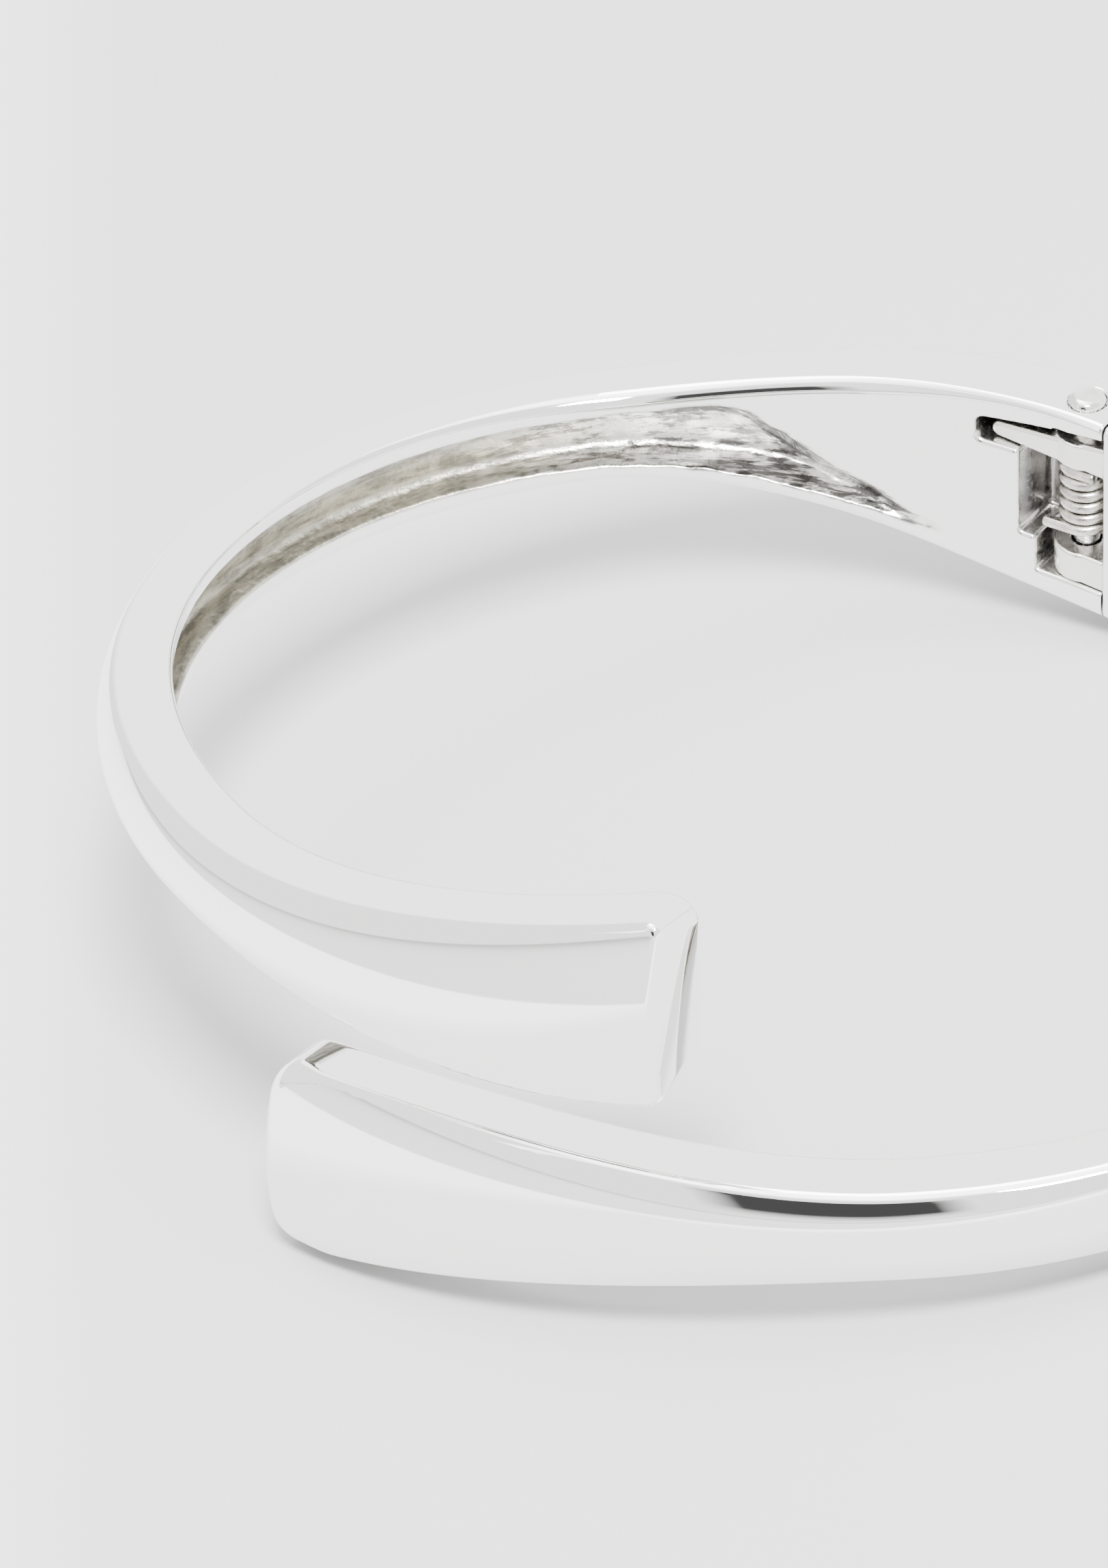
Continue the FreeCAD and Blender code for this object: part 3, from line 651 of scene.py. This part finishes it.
def make_spring():
    """Round wire along the spring's line, with slightly rounded cut ends."""
    line = spring_line()
    tangent = np.gradient(line, axis=0)
    tangent /= np.linalg.norm(tangent, axis=1)[:, None]
    side = np.cross(tangent, (0, 0, 1))
    side /= np.linalg.norm(side, axis=1)[:, None]
    up = np.cross(side, tangent)
    around = np.radians(np.arange(WIRE_SIDES) * 360 / WIRE_SIDES)

    def ring(i, back, share):
        """A ring at point i, moved along the wire by back, at that share of the radius."""
        turn = np.cos(around)[:, None] * side[i] + np.sin(around)[:, None] * up[i]
        return line[i] + tangent[i] * back + WIRE_RADIUS * share * turn

    rings = [ring(0, 0.0, WIRE_END_SHARE), ring(0, WIRE_END_BEVEL, 1.0)]
    rings += [ring(i, 0.0, 1.0) for i in range(1, len(line) - 1)]
    rings += [ring(-1, -WIRE_END_BEVEL, 1.0), ring(-1, 0.0, WIRE_END_SHARE)]
    return skin_rings("torsion_spring_wire", rings, line[0], line[-1], turned=True)


spring = make_spring()


# ---------------------------------------------------------------- materials


class Nodes:
    """Short calls for building the node tree of a material or a world."""

    def __init__(self, owner, shader):
        self.owner = owner
        owner.use_nodes = True
        self.tree = owner.node_tree
        self.shader = self.tree.nodes[shader]

    def add(self, kind, inputs=None, **settings):
        node = self.tree.nodes.new(kind)
        for key, value in settings.items():
            setattr(node, key, value)
        for key, value in (inputs or {}).items():
            self.plug(node.inputs[key], value)
        return node

    def plug(self, socket, value):
        if isinstance(value, bpy.types.NodeSocket):
            self.tree.links.new(value, socket)
        else:
            socket.default_value = value

    def noise(self, scale, detail=4.0, roughness=0.5, vector=None):
        """Noise on the piece's own place in metres, unless a vector is given."""
        node = self.add("ShaderNodeTexNoise", {"Scale": scale, "Detail": detail, "Roughness": roughness})
        self.plug(node.inputs["Vector"], vector or self.place())
        return node.outputs["Fac"]

    def place(self):
        return self.add("ShaderNodeTexCoord").outputs["Object"]

    def attribute(self, name):
        return self.add("ShaderNodeAttribute", attribute_name=name).outputs["Fac"]

    def math(self, operation, a, b=0.0):
        return self.add("ShaderNodeMath", {0: a, 1: b}, operation=operation).outputs[0]

    def span(self, value, low, high, to_low=0.0, to_high=1.0):
        inputs = {"Value": value, "From Min": low, "From Max": high, "To Min": to_low, "To Max": to_high}
        return self.add("ShaderNodeMapRange", inputs).outputs["Result"]

    def mix(self, share, a, b):
        node = self.add("ShaderNodeMix", data_type="RGBA")
        self.plug(node.inputs["Factor"], share)
        self.plug(node.inputs["A"], a)
        self.plug(node.inputs["B"], b)
        return node.outputs["Result"]

    def bump(self, height, strength, distance):
        node = self.add("ShaderNodeBump", {"Height": height, "Strength": strength, "Distance": distance})
        return node.outputs["Normal"]


def material_nodes(name):
    return Nodes(bpy.data.materials.new(name), "Principled BSDF")


def plated_casting():
    """Mirror-polished plate outside, and the bare cast skin under the plate in the hollow, with painted
    shade deep in the cuts and under the hollow's upper lip, and a painted reflection that greys the skin's
    upper half.
    """
    n = material_nodes("plated_casting")
    cast = n.attribute("cast")
    cut = n.attribute("cut")
    deep = n.attribute("deep")
    plated = n.attribute("plated")
    grain = n.noise(4200, 5, 0.6)
    drawn_out = n.math("MULTIPLY", n.attribute("along"), 0.28)
    across = n.math("ADD", n.attribute("up"), n.math("MULTIPLY", deep, 1.5))
    streaks = n.add("ShaderNodeCombineXYZ", {"X": drawn_out, "Y": across, "Z": plated})
    streak = n.noise(1.9, 6, 0.68, streaks.outputs["Vector"])
    stain = n.span(streak, 0.44, 0.6)
    # Painted shade under the hollow's upper lip is joined to the random dark spots of the run-in plate.
    under_lip = n.math("MULTIPLY", n.attribute("eave"), 0.95)
    spots_and_painted_shade = n.math("MAXIMUM", n.span(streak, 0.47, 0.54), under_lip)
    silver = (0.965, 0.963, 0.955, 1)
    # Painted reflection: the bare skin is painted greyer in the band's upper half, as if reflecting the
    # darker upper wall; its dark streaks are stains.
    bare_with_painted_reflection = n.mix(n.attribute("high"), (0.46, 0.435, 0.36, 1), (0.44, 0.435, 0.405, 1))
    bare_with_painted_reflection = n.mix(n.math("MULTIPLY", stain, 0.75), bare_with_painted_reflection, (0.16, 0.152, 0.135, 1))
    run_in = n.mix(spots_and_painted_shade, (0.9, 0.89, 0.865, 1), (0.13, 0.125, 0.12, 1))
    skin = n.mix(plated, bare_with_painted_reflection, run_in)
    # Painted shade: the cut faces are painted darker the deeper they lie behind the inner face, as shade in
    # the hinge's recesses.
    milled_with_painted_shade = n.mix(deep, (0.86, 0.85, 0.82, 1), (0.34, 0.33, 0.32, 1))
    color = n.mix(cut, silver, milled_with_painted_shade)
    n.plug(n.shader.inputs["Base Color"], n.mix(cast, color, skin))
    n.shader.inputs["Metallic"].default_value = 1.0
    polish = n.span(n.noise(700, 3), 0.3, 0.7, 0.025, 0.05)
    milled_finish = n.span(grain, 0.3, 0.7, 0.12, 0.3)
    rough_finish = n.math("SUBTRACT", n.span(grain, 0.3, 0.7, 0.36, 0.56), n.math("MULTIPLY", plated, 0.26))
    finish = n.math("MAXIMUM", polish, n.math("MULTIPLY", cut, milled_finish))
    finish = n.math("MAXIMUM", finish, n.math("MULTIPLY", cast, rough_finish))
    n.plug(n.shader.inputs["Roughness"], finish)
    relief = n.math("MULTIPLY", n.math("ADD", grain, n.noise(1500, 4, 0.6)), cast)
    soft_waves = n.math("MULTIPLY", n.noise(110, 1, 0.3), 0.05)
    n.plug(n.shader.inputs["Normal"], n.bump(n.math("ADD", relief, soft_waves), 0.6, 0.00006))
    return n.owner


def pin_metal():
    """Polished metal with slightly worn patches."""
    n = material_nodes("pin_metal")
    worn = n.span(n.noise(1400, 4), 0.4, 0.7)
    n.plug(n.shader.inputs["Base Color"], n.mix(worn, (0.9, 0.895, 0.88, 1), (0.72, 0.71, 0.69, 1)))
    n.shader.inputs["Metallic"].default_value = 1.0
    n.plug(n.shader.inputs["Roughness"], n.span(n.noise(4000, 4), 0.3, 0.7, 0.06, 0.16))
    n.plug(n.shader.inputs["Normal"], n.bump(n.noise(3000, 3), 0.2, 0.00002))
    return n.owner


def spring_wire():
    """Drawn steel wire, a little stained."""
    n = material_nodes("spring_wire")
    stain = n.span(n.noise(1600, 4), 0.38, 0.68)
    n.plug(n.shader.inputs["Base Color"], n.mix(stain, (0.74, 0.72, 0.68, 1), (0.42, 0.40, 0.37, 1)))
    n.shader.inputs["Metallic"].default_value = 1.0
    n.plug(n.shader.inputs["Roughness"], n.span(n.noise(5000, 4), 0.3, 0.7, 0.14, 0.32))
    n.plug(n.shader.inputs["Normal"], n.bump(n.noise(6000, 4), 0.25, 0.00002))
    return n.owner


def finish_piece(piece, material, node, body):
    """Gives the piece its material, hides the node it stands for and hangs the piece on the body it rides
    on.
    """
    piece.data.materials.append(material)
    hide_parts(node)
    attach(piece, body)


casting = plated_casting()
finish_piece(left, casting, "left_arm", "left_half")
finish_piece(right, casting, "right_arm", "right_half")
finish_piece(pin, pin_metal(), "hinge_pin", "left_half")
finish_piece(spring, spring_wire(), "torsion_spring", "left_half")


# ---------------------------------------------------------------- floor, light and camera


SHEET_END, SHEET_END_DIRECTION = 0.0695, (-0.088, -1, 0)  # the sheet ends in front, a little askew
WALL_LIGHT, BACK_LIGHT, CEILING_LIGHT = 2.12, 3.1, 6.5
FLOOR_REACH = 20.0
SHEET, PAINTED_LIGHT_SHEET, TABLE = (0.417, 0.417, 0.417, 1), (0.55, 0.555, 0.56, 1), (0.31, 0.31, 0.31, 1)


def make_floor():
    """A pale sheet on a darker table, with painted light past the left and the front of the bangle, where
    the sheet is a little paler so that the silver reflects it brighter.
    """
    mesh = bpy.data.meshes.new("floor")
    corners = [(x * FLOOR_REACH, y * FLOOR_REACH, 0) for x, y in ((-1, -1), (1, -1), (1, 1), (-1, 1))]
    mesh.from_pydata(corners, [], [(0, 1, 2, 3)])
    floor = bpy.data.objects.new("floor", mesh)
    bpy.context.scene.collection.objects.link(floor)
    n = material_nodes("floor")
    place = n.place()

    def reach(direction):
        """Metres from the frame's origin in that direction."""
        node = n.add("ShaderNodeVectorMath", {0: place, 1: direction}, operation="DOT_PRODUCT")
        return node.outputs["Value"]

    # Painted light: the sheet is paler past the left and the front, outside the view, so that the silver
    # reflects a brighter floor there.
    painted_light_left = n.span(reach((-0.81, -0.585, 0)), 0.034, 0.044)
    painted_light_front = n.span(reach((0.287, -0.958, 0)), 0.056, 0.066)
    sheet = n.mix(n.math("MAXIMUM", painted_light_left, painted_light_front), SHEET, PAINTED_LIGHT_SHEET)
    end = n.span(reach(SHEET_END_DIRECTION), SHEET_END - 0.001, SHEET_END + 0.001)
    n.plug(n.shader.inputs["Base Color"], n.mix(end, sheet, TABLE))
    n.shader.inputs["Roughness"].default_value = 0.9
    mesh.materials.append(n.owner)


def make_world():
    """Pale studio walls, brighter overhead, with a narrow lamp and a dark opening at the front."""
    world = bpy.data.worlds.new("studio")
    bpy.context.scene.world = world
    n = Nodes(world, "Background")
    split = n.add("ShaderNodeSeparateXYZ", {"Vector": n.add("ShaderNodeTexCoord").outputs["Generated"]})
    x, y, z = (split.outputs[axis] for axis in "XYZ")
    azimuth = n.math("DEGREES", n.math("ARCTAN2", x, n.math("MULTIPLY", y, -1.0)))
    elevation = n.math("DEGREES", n.math("ARCSINE", z))

    def patch(azimuths, elevations, soft):
        """1 between those azimuths and elevations, 0 elsewhere, with edges that soft."""
        share = 1.0
        for value, (low, high) in ((azimuth, azimuths), (elevation, elevations)):
            rise = n.span(value, low - soft, low + soft)
            drop = n.span(value, high - soft, high + soft, 1.0, 0.0)
            share = n.math("MULTIPLY", share, n.math("MULTIPLY", rise, drop))
        return share

    walls = n.span(n.math("ABSOLUTE", azimuth), 116.0, 130.0, WALL_LIGHT, BACK_LIGHT)
    light = n.span(elevation, 56.0, 74.0, walls, CEILING_LIGHT)
    narrow_lamp = n.math("MULTIPLY", patch((-27, -22), (15, 62), 2), 2.5)
    opening = n.math("MULTIPLY", patch((0, 29), (5, 36), 3), 0.96)
    light = n.math("MULTIPLY", n.math("ADD", light, narrow_lamp), n.math("SUBTRACT", 1.0, opening))
    n.plug(n.shader.inputs["Color"], (1, 1, 1, 1))
    n.plug(n.shader.inputs["Strength"], light)


def add_softbox(name, azimuth, elevation, distance, size, power):
    """A square lamp that faces the bangle.  Azimuth 0 stands at the front (-Y), 90 on the right (+X)."""
    lamp = bpy.data.lights.new(name, "AREA")
    lamp.shape = "SQUARE"
    lamp.size = size
    lamp.energy = power
    holder = bpy.data.objects.new(name, lamp)
    a, e = math.radians(azimuth), math.radians(elevation)
    towards = Vector((math.sin(a) * math.cos(e), -math.cos(a) * math.cos(e), math.sin(e)))
    holder.location = towards * distance
    holder.rotation_euler = towards.to_track_quat("Z", "Y").to_euler()
    bpy.context.scene.collection.objects.link(holder)


CAMERA_AZIMUTH = 46.956
CAMERA_ELEVATION = 35.126
CAMERA_ROLL = -18.475
CAMERA_DISTANCE = 1.0355
LENS = 551.5
AIM_OFFSET = Vector((-0.0098, -0.0049, -0.00006))


def add_camera():
    """A long lens, aimed a little left of and in front of the bangle's centre."""
    low, high = cad_box
    aim = (Vector(low) + Vector(high)) / 2 + AIM_OFFSET
    a, e, roll = (math.radians(v) for v in (CAMERA_AZIMUTH, CAMERA_ELEVATION, CAMERA_ROLL))
    towards = Vector((math.sin(a) * math.cos(e), -math.cos(a) * math.cos(e), math.sin(e)))
    lens = bpy.data.cameras.new("camera")
    lens.lens = LENS
    holder = bpy.data.objects.new("camera", lens)
    holder.location = aim + towards * CAMERA_DISTANCE
    turn = towards.to_track_quat("Z", "Y").to_matrix() @ Matrix.Rotation(roll, 3, "Z")
    holder.rotation_euler = turn.to_euler()
    bpy.context.scene.collection.objects.link(holder)
    bpy.context.scene.camera = holder


make_floor()
make_world()
add_softbox("key", azimuth=55, elevation=55, distance=1.1, size=0.24, power=54)
add_softbox("back", azimuth=-135, elevation=72, distance=1.0, size=0.4, power=3)
add_camera()
